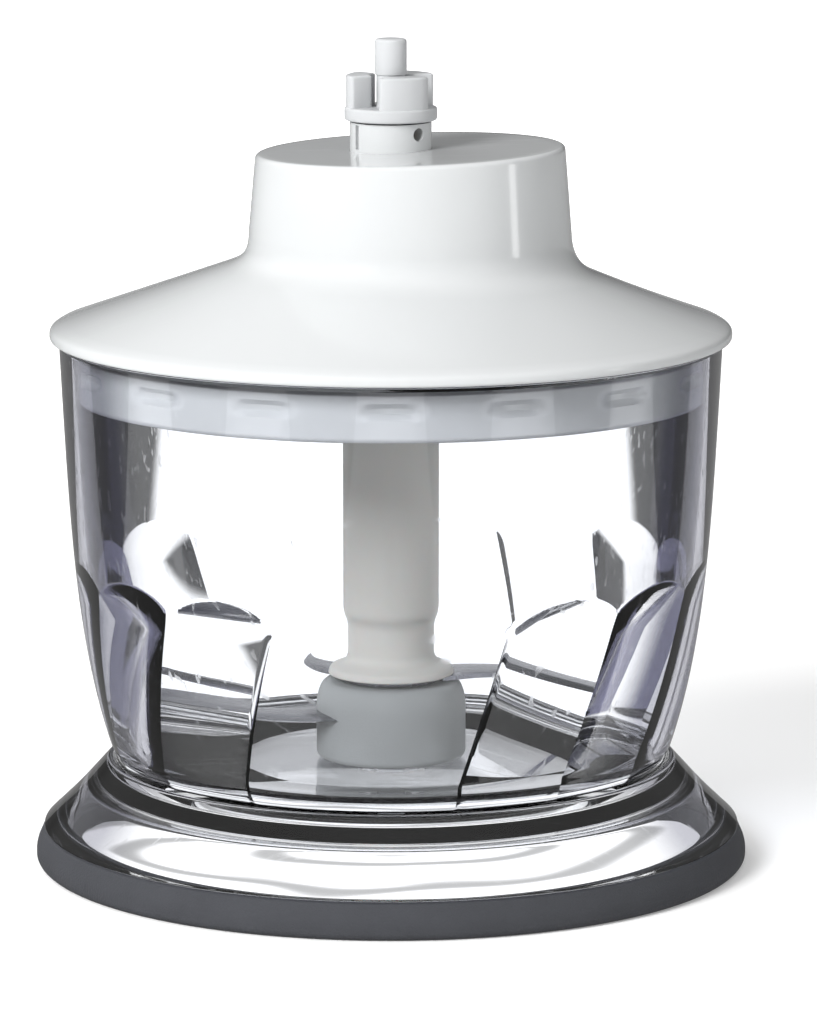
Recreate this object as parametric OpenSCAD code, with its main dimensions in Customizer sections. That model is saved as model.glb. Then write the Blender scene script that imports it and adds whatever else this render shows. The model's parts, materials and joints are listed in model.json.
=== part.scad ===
// Chopper attachment of a hand blender: a fluted clear bowl on an anti-slip base, a blade unit
// on a steel pin, and a geared lid whose coupling takes the motor unit. Millimetres, +Z up,
// origin at the middle of the base's underside.

/* [Bowl] */
// Outside radius of the bowl at its rim
bowl_r = 60.3; // [54:0.1:74]
// Height of the bowl from its foot to its rim
bowl_h = 80; // [66:0.5:100]
// Thickness of the bowl's wall above the flutes
bowl_wall = 2.4; // [2:0.1:3]
// Extra thickness of the wall where the flutes are moulded
flute_rib = 0.9; // [0.5:0.1:1.5]
// Height of the fluted band above the floor
flute_h = 38; // [30:0.5:45]
// Thickness of the bowl's floor
floor_t = 2; // [2:0.1:2.5]
// How much the wall leans in from rim to foot
bowl_draft = 3.7; // [3:0.1:5]
// How much the lower wall curves in besides
bowl_belly = 5.1; // [3:0.1:6]
// Radius of the steel pin that the blade unit turns on
pin_r = 2.5; // [2:0.1:3]
// Height of the pin above the floor
pin_h = 19; // [14:0.5:22]

/* [Base] */
// Height of the deck that carries the bowl
deck_h = 16.2; // [14:0.1:20]
// How far the base spreads beyond the bowl's foot
base_flare = 13.7; // [11:0.1:18]
// Thickness of the base's wall and deck
base_wall = 2.2; // [1.8:0.1:2.8]
// Height of the lip round the bowl's foot
base_lip = 3.2; // [2.5:0.1:4]
// Height of the rubber ring
ring_h = 6.6; // [6:0.1:8]
// How far the rubber ring stands out from the base
ring_bulge = 1.3; // [1:0.1:2]

/* [Blade unit] */
// Outside radius of the hub's tube
hub_r = 8.75; // [8.6:0.05:10]
// Outside radius of the frosted skirt at the hub's foot
skirt_r = 13.7; // [12.5:0.1:16]
// Height of the frosted skirt
skirt_h = 14; // [13:0.5:18]
// Thickness of the blade steel
blade_t = 1.2; // [0.8:0.1:1.5]
// Gap between a blade's tip and the wall
blade_gap = 5; // [3:0.5:10]
// Width of a blade at its root
blade_w = 13; // [9:0.5:14]

/* [Lid] */
// How far the lid's edge stands out past the bowl's rim
lid_lip = 1.7; // [1:0.1:3]
// Thickness of the lid's shell
lid_wall = 2.1; // [1.8:0.1:2.4]
// Rise of the lid's cone for each millimetre inwards
lid_slope = 0.35; // [0.32:0.01:0.4]
// Height of the neck's top above the bowl's rim
neck_top = 34.5; // [33:0.5:42]
// Radius of the neck at its top
neck_r = 28.1; // [27.5:0.1:34]
// Sideways offset of the neck from the bowl's axis
neck_offset = 3.5; // [0:0.1:3.5]
// Depth of the skirt that plugs into the bowl
plug_h = 10; // [8.5:0.5:12]

/* [Gear stage] */
// Module of the gears
gear_module = 0.8; // [0.6:0.05:0.8]
// Width of the gear teeth
gear_face = 6.2; // [5:0.1:6.5]
// Radius of the input shaft
shaft_r = 2.5; // [2:0.1:3]
// Radius of the output spindle
spindle_r = 5; // [4:0.1:5.5]

/* [Coupling] */
// Height of the socket above the neck
socket_h = 5; // [4:0.5:8]
// Outside radius of the socket
socket_r = 7.4; // [7:0.1:9]
// Outside radius of the drive dog
dog_r = 8.4; // [8.2:0.1:10]
// Height of the dog's jaws
jaw_h = 5.8; // [4:0.1:8]
// Radius of the post between the jaws
post_r = 2.9; // [2.8:0.1:3.4]
// Height of the post above the jaws
tip_h = 6.5; // [4:0.5:9]

/* [Hidden] */
$fn = 96;

// Clearances
run_gap = 0.04;      // radial, in a running fit
seat_gap = 0.03;     // radial, where one fixed piece is pressed into another
free_gap = 0.3;      // between faces of pieces that part or turn
over = 1;            // how far a cut reaches past the face that it opens

// Levels, from the surface that the base stands on
bowl_z = deck_h + free_gap;
recess_h = 0.5;
floor_z = bowl_z + recess_h + floor_t;
rim_z = bowl_z + bowl_h;
wall_z = bowl_z + 5.7;
flute_z = floor_z + flute_h;
lid_z = rim_z + free_gap;

// Bowl
foot_step = 1.2;
foot_w = 5.3;
foot_r = bowl_r - bowl_draft - bowl_belly - foot_step;
corner_r = 5;
boss_r = 6;
boss_h = 2;
wall_steps = 10;
function rise(z) = (z - wall_z) / (rim_z - wall_z);
function outer_r(z) = bowl_r - bowl_draft * (1 - rise(z)) - bowl_belly * pow(1 - rise(z), 4);
function rib(z) = flute_rib * min(1, max(0, (flute_z + 20 - z) / 20));
function inner_r(z) = outer_r(z) - bowl_wall - rib(z);
function arc(cx, cy, r, from, to, steps) =
    [for (i = [0:steps]) let (a = from + (to - from) * i / steps) [cx + r * cos(a), cy + r * sin(a)]];

// Base
base_r = foot_r + base_flare;
lip_r = foot_r + 0.5;
hem_in = base_r - 3.8;
hem_out = base_r - 1.6;
hem_z = 1.6;

// Blade unit
hub_z = floor_z + boss_h + 0.5;
skirt_z = floor_z + 0.5;
skirt_top = skirt_z + skirt_h;
collar_z = skirt_top + blade_t;
neck_in_z = collar_z + 9.5;
stem_r = 6.2;
skirt_wall = 1.7;
bush_r = pin_r + 1.9;
bore_r = 6.5;
insert_h = 11.5;
lower_z = skirt_z + 7.5;
blade_tip_r = inner_r(collar_z) - blade_gap;
blade_sweep = 65;
blade_turn = 20;

// Lid
lid_r = bowl_r + lid_lip;
lid_edge = 2.4;
cone_r = lid_r - 1.2;
neck_z = rim_z + neck_top;
fillet_r = 9.4;
neck_root_r = neck_r + 1.2;
fillet_z = lid_z + 18.8;
plate_t = 2;
plate_z = lid_z - plate_t;
plug_z = rim_z - plug_h;
plug_r = outer_r(plug_z) - bowl_wall - 0.35;
plug_wall = 1.8;
ledge_r = plug_r - 1.2;
screw_ring = plug_r - 12;
screw_r = 1.5;
screw_len = 5.6;
function cone_z(r) = lid_z + lid_edge + lid_slope * (cone_r - r);

// Gear stage
sun_teeth = 15;
planet_teeth = 15;
planets = 3;
ring_teeth = sun_teeth + 2 * planet_teeth;
pressure = 20;
backlash = 0.6;
sun_r = gear_module * sun_teeth / 2;
planet_r = gear_module * planet_teeth / 2;
ring_r = gear_module * ring_teeth / 2;
orbit_r = sun_r + planet_r;
ring_out = ring_r + 1.25 * gear_module + 2.5;
cup_r = ring_out + 2.1;
carrier_t = 2;
carrier_z = lid_z + free_gap;
gear_z = carrier_z + carrier_t + free_gap;
gear_top = gear_z + gear_face;
head_t = 1;
cover_z = gear_top + free_gap + head_t + free_gap;
cover_t = 1.8;
planet_pin_r = 2;
lower_bush_h = 5;
clip_t = 0.8;
output_wall = 2;
spindle_boss_z = plate_z - 6.5;
hub_top = spindle_boss_z - 0.5;
seal_t = 2;
hex_r = spindle_r - 0.2;
hex_h = insert_h - 1.5;
function involute(a) = tan(a) * 180 / PI - a;
function planet_at(k) = 90 + 360 * k / planets;
function ahead(angle, pitch) = ceil(angle / pitch) * pitch - angle;

// Coupling
socket_z = neck_z + socket_h;
plug_flange_r = socket_r + 3.5;
plug_flange_t = 2.3;
dog_z = socket_z + free_gap;
dog_t = 2.4;
jaws = 3;
jaw_half = 38;
jaw_turn = 52;
jaw_in_r = post_r + 0.8;
post_step = 0.3;
jaw_top = dog_z + dog_t + jaw_h;
post_top = jaw_top + tip_h;
neck_shaft_r = 0.64 * shaft_r;
neck_shaft_top = jaw_top + 1.5;

// Colours
clear = [0.86, 0.88, 0.95, 0.45];
white = [0.93, 0.94, 0.95];
steel = [0.72, 0.73, 0.75];
bronze = [0.72, 0.55, 0.33];
ivory = [0.86, 0.86, 0.82];
rubber = [0.29, 0.29, 0.31];

module tube(r, bore, z0, z1) {
    translate([0, 0, z0])
        difference() {
            cylinder(r = r, h = z1 - z0);
            translate([0, 0, -over]) cylinder(r = bore, h = z1 - z0 + 2 * over);
        }
}

// One tooth reaches from inner radius a to outer radius b, with involute flanks.
module toothed(teeth, a, b, slack) {
    pitch_r = gear_module * teeth / 2;
    base_r = pitch_r * cos(pressure);
    radii = [a, max(a, base_r) + 0.02, pitch_r, b];
    function half(r) = 90 / teeth + slack + involute(pressure)
        - (r > base_r ? involute(acos(base_r / r)) : 0);
    polygon([for (i = [0:teeth - 1], side = [-1, 1], k = [0:3])
        let (r = radii[side < 0 ? k : 3 - k], angle = 360 * i / teeth + side * half(r))
        [r * cos(angle), r * sin(angle)]]);
}

module gear(teeth, bore) {
    pitch_r = gear_module * teeth / 2;
    difference() {
        linear_extrude(gear_face)
            toothed(teeth, pitch_r - 1.25 * gear_module, pitch_r + gear_module, -backlash);
        translate([0, 0, -over]) cylinder(r = bore, h = gear_face + 2 * over);
    }
}

module base_shell() {
    lip_z = deck_h + base_lip;
    slope = (base_r - lip_r - 1) / (lip_z - ring_h - 0.2);
    under_z = deck_h - base_wall;
    under_r = base_r - slope * (under_z - ring_h - 0.2) - 1.45 * base_wall;
    color(clear)
        rotate_extrude()
            polygon([[0, under_z], [under_r, under_z], [hem_in, ring_h + 0.2], [hem_in, hem_z],
                     [hem_out, hem_z], [hem_out, ring_h + 0.2], [base_r, ring_h + 0.2],
                     [lip_r + 1, lip_z], [lip_r, lip_z], [lip_r, deck_h], [0, deck_h]]);
}

module grip_ring() {
    out = base_r + ring_bulge;
    color(rubber)
        rotate_extrude()
            polygon(concat(
                [[hem_in - 1.2, 0.4], [hem_in - 0.8, 0], [base_r - 0.4, 0]],
                arc(out - 1.8, 1.8, 1.8, -70, 20, 4),
                [[base_r + 0.4, 5], [base_r - 0.3, ring_h], [hem_out + seat_gap, ring_h],
                 [hem_out + seat_gap, hem_z], [hem_in - seat_gap, hem_z],
                 [hem_in - seat_gap, 5], [hem_in - 1.2, 5]]));
}

module bowl() {
    corner_z = floor_z + corner_r;
    corner_x = inner_r(corner_z) - corner_r;
    color(clear)
        rotate_extrude()
            polygon(concat(
                [[0, bowl_z + recess_h], [foot_r - foot_w, bowl_z + recess_h],
                 [foot_r - foot_w, bowl_z], [foot_r, bowl_z], [foot_r + 0.4, wall_z - 1.5]],
                [for (i = [0:wall_steps]) let (z = wall_z + (rim_z - 0.6 - wall_z) * i / wall_steps)
                    [outer_r(z), z]],
                [[bowl_r - 0.6, rim_z], [bowl_r - bowl_wall + 0.6, rim_z]],
                [for (i = [wall_steps:-1:1])
                    let (z = corner_z + (rim_z - 0.6 - corner_z) * i / wall_steps) [inner_r(z), z]],
                arc(corner_x, corner_z, corner_r, 0, -90, 4),
                [[boss_r, floor_z], [boss_r, floor_z + boss_h], [pin_r + seat_gap, floor_z + boss_h],
                 [pin_r + seat_gap, bowl_z + recess_h + 1], [0, bowl_z + recess_h + 1]]));
}

module pivot_pin() {
    foot = bowl_z + recess_h + 1;
    top = floor_z + pin_h;
    color(steel)
        rotate_extrude()
            polygon([[0, foot], [pin_r, foot], [pin_r, top - 0.8], [pin_r - 0.8, top], [0, top]]);
}

module blade_hub() {
    bush_top = floor_z + pin_h + 1;
    color(ivory)
        rotate_extrude()
            polygon([[bush_r + seat_gap, hub_z], [stem_r, hub_z], [stem_r, collar_z],
                     [skirt_r - 2.1, collar_z], [skirt_r - 2.6, collar_z + 1.2],
                     [hub_r - 0.85, collar_z + 2.4], [hub_r - 0.85, neck_in_z],
                     [hub_r, neck_in_z + 2], [hub_r, hub_top - 0.5], [hub_r - 0.5, hub_top],
                     [bore_r, hub_top], [bore_r, bush_top + 3], [bush_r + seat_gap, bush_top]]);
}

module hub_skirt() {
    top_r = stem_r + seat_gap;
    slot_h = blade_t + 2 * seat_gap;
    color([0.83, 0.84, 0.82, 0.8])
        difference() {
            rotate_extrude()
                polygon(concat(
                    [[skirt_r - skirt_wall - 1, skirt_z]],
                    arc(skirt_r - 2, skirt_z + 2, 2, -90, 0, 4),
                    [[skirt_r - 0.5, skirt_top - 1.5], [skirt_r - 2, skirt_top], [top_r, skirt_top],
                     [top_r, skirt_top - 2], [skirt_r - skirt_wall - 0.5, skirt_top - 2],
                     [skirt_r - skirt_wall, skirt_z + 2]]));
            rotate(blade_turn)
                translate([-skirt_r - over, -blade_w / 2 - 0.2, lower_z - seat_gap])
                    cube([skirt_r + over, blade_w + 0.4, slot_h]);
        }
}

module hub_bush() {
    color(bronze) tube(bush_r, pin_r + run_gap, hub_z, floor_z + pin_h - 1.5);
}

module drive_insert() {
    foot = hub_top - insert_h;
    color([0.35, 0.36, 0.38])
        difference() {
            translate([0, 0, foot]) cylinder(r = bore_r - seat_gap, h = insert_h - 0.3);
            translate([0, 0, foot + 1.2]) cylinder(r = hex_r + free_gap, h = insert_h, $fn = 6);
        }
}

// An arm's middle line turns away by the sweep angle times the square of the way out, and its
// width shrinks to a point, faster on the trailing side.
module arm(tip_r, sweep, root_w) {
    steps = 8;
    root_r = stem_r + 1.5;
    function way(i) = i / steps;
    function mid(i) = root_r + (tip_r - root_r) * way(i);
    function turn(i) = -sweep * way(i) * way(i);
    function side(i, s) =
        let (w = s * root_w / 2 * (s > 0 ? sqrt(1 - way(i)) : (1 - way(i))))
        [mid(i) * cos(turn(i)) - w * sin(turn(i)), mid(i) * sin(turn(i)) + w * cos(turn(i))];
    linear_extrude(blade_t)
        polygon(concat([for (i = [0:steps]) side(i, 1)], [for (i = [steps - 1:-1:0]) side(i, -1)]));
}

// The ring that holds a blade's arms on the stem.
module blade_ring() {
    difference() {
        union() {
            cylinder(r = stem_r + 2.6, h = blade_t);
            children();
        }
        translate([0, 0, -over]) cylinder(r = stem_r + seat_gap, h = blade_t + 2 * over);
    }
}

module lower_blade() {
    color(steel)
        translate([0, 0, lower_z])
            blade_ring()
                rotate(180 + blade_turn)
                    arm(blade_tip_r, blade_sweep, blade_w);
}

module upper_blade() {
    tail_turn = 152;
    color(steel)
        translate([0, 0, skirt_top])
            blade_ring() {
                rotate(blade_turn) arm(blade_tip_r, blade_sweep, blade_w);
                rotate(tail_turn) arm(blade_tip_r / 2, blade_sweep / 3, blade_w * 0.7);
            }
}

module blade_spacer() {
    color(ivory)
        tube(stem_r + 2, stem_r + seat_gap, lower_z + blade_t, skirt_top - 2);
}

module blade_retainer() {
    color(steel) tube(stem_r + 2.4, stem_r + seat_gap, lower_z - 2.2, lower_z);
}

// The solid inside the lid's outer surface, or inside its inner one when wall is given.
module lid_form(wall) {
    top_r = neck_r - wall;
    union() {
        rotate_extrude()
            polygon(wall == 0
                ? concat([[0, lid_z], [lid_r - 0.6, lid_z]],
                         arc(lid_r - 1.2, lid_z + 1.2, 1.2, -60, 30, 3),
                         [[cone_r, lid_z + lid_edge], [neck_r - 5, cone_z(neck_r - 5)],
                          [0, cone_z(neck_r - 5)]])
                : [[0, lid_z - over], [ledge_r, lid_z - over], [ledge_r, cone_z(ledge_r) - wall],
                   [neck_r - 6, cone_z(neck_r - 6) - wall], [0, cone_z(neck_r - 6) - wall]]);
        translate([neck_offset, 0, 0])
            rotate_extrude()
                polygon(concat(
                    [[0, lid_z + 4]],
                    [[neck_root_r + fillet_r, lid_z + 4]],
                    arc(neck_root_r + fillet_r, fillet_z, fillet_r + wall, -90, -180, 6),
                    [[top_r, neck_z - max(wall, 0.8)], [top_r - (wall == 0 ? 0.8 : 0), neck_z - wall],
                     [0, neck_z - wall]]));
    }
}

module at_screws() {
    for (k = [0:2]) rotate(90 + 120 * k) translate([screw_ring, 0, 0]) children();
}

module lid_shell() {
    boss = 3;
    boss_top = cone_z(screw_ring + boss) - 0.15;
    color(white)
        difference() {
            union() {
                difference() {
                    lid_form(0);
                    lid_form(lid_wall);
                }
                at_screws() translate([0, 0, lid_z]) cylinder(r = boss, h = boss_top - lid_z);
            }
            at_screws()
                translate([0, 0, lid_z - over]) cylinder(r = screw_r + seat_gap, h = screw_len + over);
            translate([0, 0, neck_z - 2 * lid_wall])
                cylinder(r = socket_r + seat_gap, h = 2 * lid_wall + over);
        }
}

module lid_base() {
    seat_r = spindle_r + output_wall + seat_gap;
    color(white)
        difference() {
            rotate_extrude()
                polygon([[spindle_r + 1, spindle_boss_z], [seat_r + 2.5, spindle_boss_z],
                         [seat_r + 2.5, plate_z], [plug_r - plug_wall, plate_z],
                         [plug_r - plug_wall, plug_z], [plug_r - 0.4, plug_z],
                         [plug_r, plug_z + 0.6], [plug_r, lid_z], [cup_r, lid_z],
                         [cup_r, cover_z], [ring_out + seat_gap, cover_z],
                         [ring_out + seat_gap, lid_z], [seat_r, lid_z],
                         [seat_r, spindle_boss_z + 0.8], [spindle_r + 1, spindle_boss_z + 0.8]]);
            at_screws()
                translate([0, 0, plate_z - over]) cylinder(r = screw_r + 0.2, h = plate_t + 2 * over);
        }
}

module coupling_socket() {
    flange_z = neck_z - lid_wall - plug_flange_t;
    color(white)
        difference() {
            union() {
                translate([0, 0, flange_z]) cylinder(r = plug_flange_r, h = plug_flange_t);
                translate([0, 0, flange_z]) cylinder(r = socket_r, h = socket_z - flange_z);
            }
            translate([0, 0, flange_z - over])
                cylinder(r = shaft_r + 2 + seat_gap, h = socket_z - flange_z + 2 * over);
            translate([0, 0, neck_z + socket_h * 0.62])
                rotate([90, 0, 43]) cylinder(r = 1.2, h = socket_r + over);
            rotate(215)
                translate([socket_r - 1, -0.5, neck_z + 0.3]) cube([2, 1, socket_h - 0.6]);
        }
}

module upper_bush() {
    color(bronze)
        tube(shaft_r + 2, shaft_r + run_gap, neck_z - lid_wall - plug_flange_t, socket_z - 0.6);
}

module gearbox_cover() {
    color([0.6, 0.62, 0.64])
        rotate_extrude()
            polygon([[shaft_r + 2 + seat_gap, cover_z], [ring_out - 2, cover_z],
                     [ring_out - 2, gear_top + free_gap], [ring_out - 0.2, gear_top + free_gap],
                     [ring_out - 0.2, cover_z], [cup_r, cover_z], [cup_r, cover_z + cover_t],
                     [shaft_r + 4, cover_z + cover_t], [shaft_r + 4, cover_z + lower_bush_h],
                     [shaft_r + 2 + seat_gap, cover_z + lower_bush_h]]);
}

module lower_bush() {
    color(bronze) tube(shaft_r + 2, shaft_r + run_gap, cover_z, cover_z + lower_bush_h);
}

module ring_gear() {
    color([0.88, 0.88, 0.84])
        difference() {
            translate([0, 0, lid_z]) cylinder(r = ring_out, h = gear_top + free_gap - lid_z);
            translate([0, 0, lid_z - over])
                linear_extrude(gear_top - lid_z + 2 * over)
                    toothed(ring_teeth, ring_r - 0.75 * gear_module, ring_r + 1.25 * gear_module,
                            backlash * sun_teeth / ring_teeth);
        }
}

module output_bush() {
    color(bronze)
        tube(spindle_r + output_wall, spindle_r + run_gap, spindle_boss_z + 0.8 + seal_t, lid_z);
}

module output_seal() {
    color(rubber)
        tube(spindle_r + output_wall, spindle_r + run_gap, spindle_boss_z + 0.8,
             spindle_boss_z + 0.8 + seal_t);
}

module lid_screws() {
    head_r = 2.8;
    head_h = 1.6;
    color(steel)
        at_screws()
            difference() {
                union() {
                    translate([0, 0, plate_z - head_h]) cylinder(r = head_r, h = head_h);
                    translate([0, 0, plate_z - 0.2])
                        cylinder(r = screw_r, h = plate_t + screw_len - 0.3);
                }
                for (turn = [0, 90])
                    translate([0, 0, plate_z - head_h]) rotate(turn)
                        cube([2.8, 0.6, 1.6], center = true);
            }
}

module drive_shaft() {
    color(steel)
        rotate_extrude()
            polygon([[0, gear_z], [shaft_r, gear_z], [shaft_r, dog_z], [neck_shaft_r, dog_z],
                     [neck_shaft_r, neck_shaft_top], [0, neck_shaft_top]]);
}

module drive_dog() {
    reach = 2 * dog_r;
    bore_r = neck_shaft_r + seat_gap;
    flange_z = dog_z + dog_t;
    color([0.84, 0.85, 0.86])
        union() {
            rotate_extrude()
                polygon([[bore_r, dog_z], [dog_r, dog_z], [dog_r, flange_z], [post_r - post_step, flange_z],
                         [post_r - post_step, jaw_top], [post_r, jaw_top], [post_r, post_top - 0.5],
                         [post_r - 0.5, post_top], [0, post_top], [0, neck_shaft_top + seat_gap],
                         [bore_r, neck_shaft_top + seat_gap]]);
            for (k = [0:jaws - 1])
                rotate(jaw_turn + 360 * k / jaws)
                    intersection() {
                        tube(dog_r - 0.2, jaw_in_r, flange_z - 0.5, jaw_top);
                        linear_extrude(jaw_top + over)
                            polygon([[0, 0], [reach * cos(jaw_half), -reach * sin(jaw_half)],
                                     [reach * cos(jaw_half), reach * sin(jaw_half)]]);
                    }
        }
}

module sun_gear() {
    color([0.7, 0.71, 0.72]) translate([0, 0, gear_z]) gear(sun_teeth, shaft_r + seat_gap);
}

module shaft_clip() {
    clip_z = cover_z + lower_bush_h + 0.1;
    color(steel)
        difference() {
            tube(shaft_r + 2.2, shaft_r + seat_gap, clip_z, clip_z + clip_t);
            translate([0, -shaft_r * 0.7, clip_z - over])
                cube([2 * shaft_r + over, shaft_r * 1.4, clip_t + 2 * over]);
        }
}

module planet_carrier() {
    color([0.5, 0.52, 0.55])
        difference() {
            union() {
                translate([0, 0, carrier_z])
                    cylinder(r = ring_r - 0.75 * gear_module - 1.2, h = carrier_t);
                translate([0, 0, hub_top])
                    cylinder(r = spindle_r, h = carrier_z - hub_top + carrier_t / 2);
                translate([0, 0, hub_top - hex_h]) cylinder(r = hex_r, h = hex_h + 2, $fn = 6);
            }
            for (k = [0:planets - 1])
                rotate(planet_at(k)) translate([orbit_r, 0, carrier_z - over])
                    cylinder(r = planet_pin_r + seat_gap, h = carrier_t + 2 * over);
        }
}

module planet_pins() {
    color(steel)
        for (k = [0:planets - 1])
            rotate(planet_at(k)) translate([orbit_r, 0, 0]) {
                translate([0, 0, carrier_z])
                    cylinder(r = planet_pin_r, h = gear_top + free_gap + head_t - carrier_z);
                translate([0, 0, gear_top + free_gap])
                    cylinder(r = planet_pin_r + 1, h = head_t);
            }
}

// Each planet is turned so that a gap of its teeth meets the sun's tooth that lies ahead.
module planet_gear(k) {
    turn = planet_at(k) + 180 + 180 / planet_teeth
        - ahead(planet_at(k), 360 / sun_teeth) * sun_teeth / planet_teeth;
    color([0.9, 0.9, 0.86])
        rotate(planet_at(k)) translate([orbit_r, 0, gear_z]) rotate(turn - planet_at(k))
            gear(planet_teeth, planet_pin_r + run_gap);
}

base_shell();
grip_ring();
bowl();
pivot_pin();
blade_hub();
hub_skirt();
hub_bush();
drive_insert();
lower_blade();
upper_blade();
blade_spacer();
blade_retainer();
lid_shell();
lid_base();
coupling_socket();
upper_bush();
gearbox_cover();
lower_bush();
ring_gear();
output_bush();
output_seal();
lid_screws();
drive_shaft();
drive_dog();
sun_gear();
shaft_clip();
planet_carrier();
planet_pins();
planet_gear(0);  // planet_gear_1
planet_gear(1);  // planet_gear_2
planet_gear(2);  // planet_gear_3
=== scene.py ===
import json
from math import cos, pi, radians, sin

import bmesh
import bpy
import numpy as np
from bpy.props import FloatProperty, FloatVectorProperty, IntProperty, PointerProperty
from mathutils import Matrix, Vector


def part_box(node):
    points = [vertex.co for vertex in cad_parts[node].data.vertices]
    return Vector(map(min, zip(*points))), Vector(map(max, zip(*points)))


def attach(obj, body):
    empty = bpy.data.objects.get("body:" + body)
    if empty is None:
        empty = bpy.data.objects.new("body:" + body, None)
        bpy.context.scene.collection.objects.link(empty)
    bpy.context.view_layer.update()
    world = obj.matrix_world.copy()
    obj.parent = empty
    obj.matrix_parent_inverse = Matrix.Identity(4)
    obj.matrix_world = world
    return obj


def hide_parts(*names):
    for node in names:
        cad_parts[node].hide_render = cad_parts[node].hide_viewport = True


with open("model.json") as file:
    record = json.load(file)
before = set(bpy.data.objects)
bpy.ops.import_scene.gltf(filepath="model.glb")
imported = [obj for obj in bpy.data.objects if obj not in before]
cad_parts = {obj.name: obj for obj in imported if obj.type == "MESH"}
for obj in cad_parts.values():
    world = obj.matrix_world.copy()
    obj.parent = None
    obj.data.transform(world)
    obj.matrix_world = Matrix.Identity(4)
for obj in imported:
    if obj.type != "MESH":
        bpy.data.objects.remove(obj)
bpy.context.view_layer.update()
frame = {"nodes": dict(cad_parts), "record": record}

bl_info = {
    "name": "Chopper attachment",
    "version": (1, 0, 0),
    "blender": (4, 5, 0),
    "location": "View3D > Sidebar > Chopper",
    "description": "A clear chopper bowl with its base, blade unit and geared lid",
    "category": "Object",
}

MM = 0.001
ROUND = 256          # segments round the turned pieces
FINE = 384           # segments round the faceted bowl
SEAT = 0.03          # gap in millimetres between two pieces that are fixed to each other
FREE = 0.3           # gap in millimetres between pieces that part or turn
STEM = 6.2           # radius in millimetres of the hub's stem, which carries skirt and blades
PIN = 2.5            # radius in millimetres of the pin that the blade unit turns on
PIN_BUSH = 4.4       # outside radius in millimetres of the bush on that pin


# ---- sizes and colours

def millimetres(name, default, description):
    """A length in millimetres; it has no Blender unit, because Blender reads those in metres."""
    return FloatProperty(name=name, default=default, description=description, min=0.0)


def colour(name, default, description):
    """A colour property."""
    return FloatVectorProperty(name=name, default=default, description=description,
                               subtype="COLOR", size=3, min=0.0, max=1.0)


class BowlSizes(bpy.types.PropertyGroup):
    """The clear bowl, in millimetres above the table and from its axis"""
    rim_radius: millimetres("Rim radius", 60.3, "Outside radius at the rim")
    rim_z: millimetres("Rim level", 96.5, "Level of the rim")
    foot_z: millimetres("Foot level", 16.5, "Level of the foot")
    wall_z: millimetres("Wall level", 22.2, "Level where the curved wall starts")
    floor_z: millimetres("Floor level", 19.0, "Level of the floor inside")
    draft: millimetres("Draft", 3.7, "How much the wall leans in from rim to foot")
    belly: millimetres("Belly", 5.1, "How much the lower wall curves in besides")
    wall: millimetres("Wall", 2.4, "Thickness of the wall at the rim")
    pitches: IntProperty(name="Pitches", default=16, min=6,
                         description="Pitches round the wall, each a facet or a part of a panel")
    facet_top: millimetres("Facet top", 57.0, "Level of the facets' arched tops")
    sag: millimetres("Sag", 1.45, "How far a facet's middle stands in from the round wall")
    lean: FloatProperty(name="Lean", default=radians(8.0), subtype="ANGLE",
                        description="How far a facet leans round the bowl from top to floor")


class BaseSizes(bpy.types.PropertyGroup):
    """The anti-slip base, in millimetres"""
    deck_z: millimetres("Deck level", 16.2, "Level that carries the bowl")
    lip_z: millimetres("Lip level", 19.4, "Top of the lip round the bowl's foot")
    lip_radius: millimetres("Lip radius", 50.8, "Inside radius of the lip")
    hem_radius: millimetres("Hem radius", 64.0, "Outside radius just over the rubber ring")
    ring_height: millimetres("Ring height", 6.6, "Height of the rubber ring")
    ring_bulge: millimetres("Ring bulge", 1.3, "How far the ring stands out")
    wall: millimetres("Wall", 2.2, "Thickness of the clear wall")


class BladeSizes(bpy.types.PropertyGroup):
    """The blade unit, in millimetres"""
    tube_radius: millimetres("Tube radius", 8.75, "Outside radius of the hub's tube")
    skirt_radius: millimetres("Skirt radius", 13.7, "Outside radius of the frosted skirt")
    skirt_z: millimetres("Skirt level", 19.5, "Level of the skirt's lower edge")
    skirt_height: millimetres("Skirt height", 14.0, "Height of the skirt")
    blade: millimetres("Blade", 1.2, "Thickness of the blades")
    root_width: millimetres("Root width", 13.0, "Width of a blade at its root")
    tip_radius: millimetres("Tip radius", 46.4, "Radius of the blades' tips")
    sweep: FloatProperty(name="Sweep", default=radians(65.0), subtype="ANGLE",
                         description="How far a blade's tip lies behind its root")
    turn: FloatProperty(name="Turn", default=radians(20.0), subtype="ANGLE",
                        description="Where the upper blade's root points")


class LidSizes(bpy.types.PropertyGroup):
    """The lid, in millimetres"""
    edge_radius: millimetres("Edge radius", 62.0, "Outside radius of the lid's edge")
    edge_z: millimetres("Edge level", 96.8, "Level of the lid's lower edge")
    slope: FloatProperty(name="Slope", default=0.35, description="Rise of the cone inwards")
    neck_radius: millimetres("Neck radius", 28.1, "Radius of the neck's top")
    neck_z: millimetres("Neck level", 131.0, "Level of the neck's top")
    neck_offset: millimetres("Neck offset", 3.5, "Sideways offset of the neck")
    fillet: millimetres("Fillet", 9.4, "Radius between neck and cone")
    tilt: FloatProperty(name="Tilt", default=0.03, description="Slant of the neck's top")
    wall: millimetres("Wall", 2.1, "Thickness of the shell")
    plug_depth: millimetres("Plug depth", 10.0, "Depth of the skirt inside the bowl")
    plug_radius: millimetres("Plug radius", 57.05, "Outside radius of that skirt")


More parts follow.
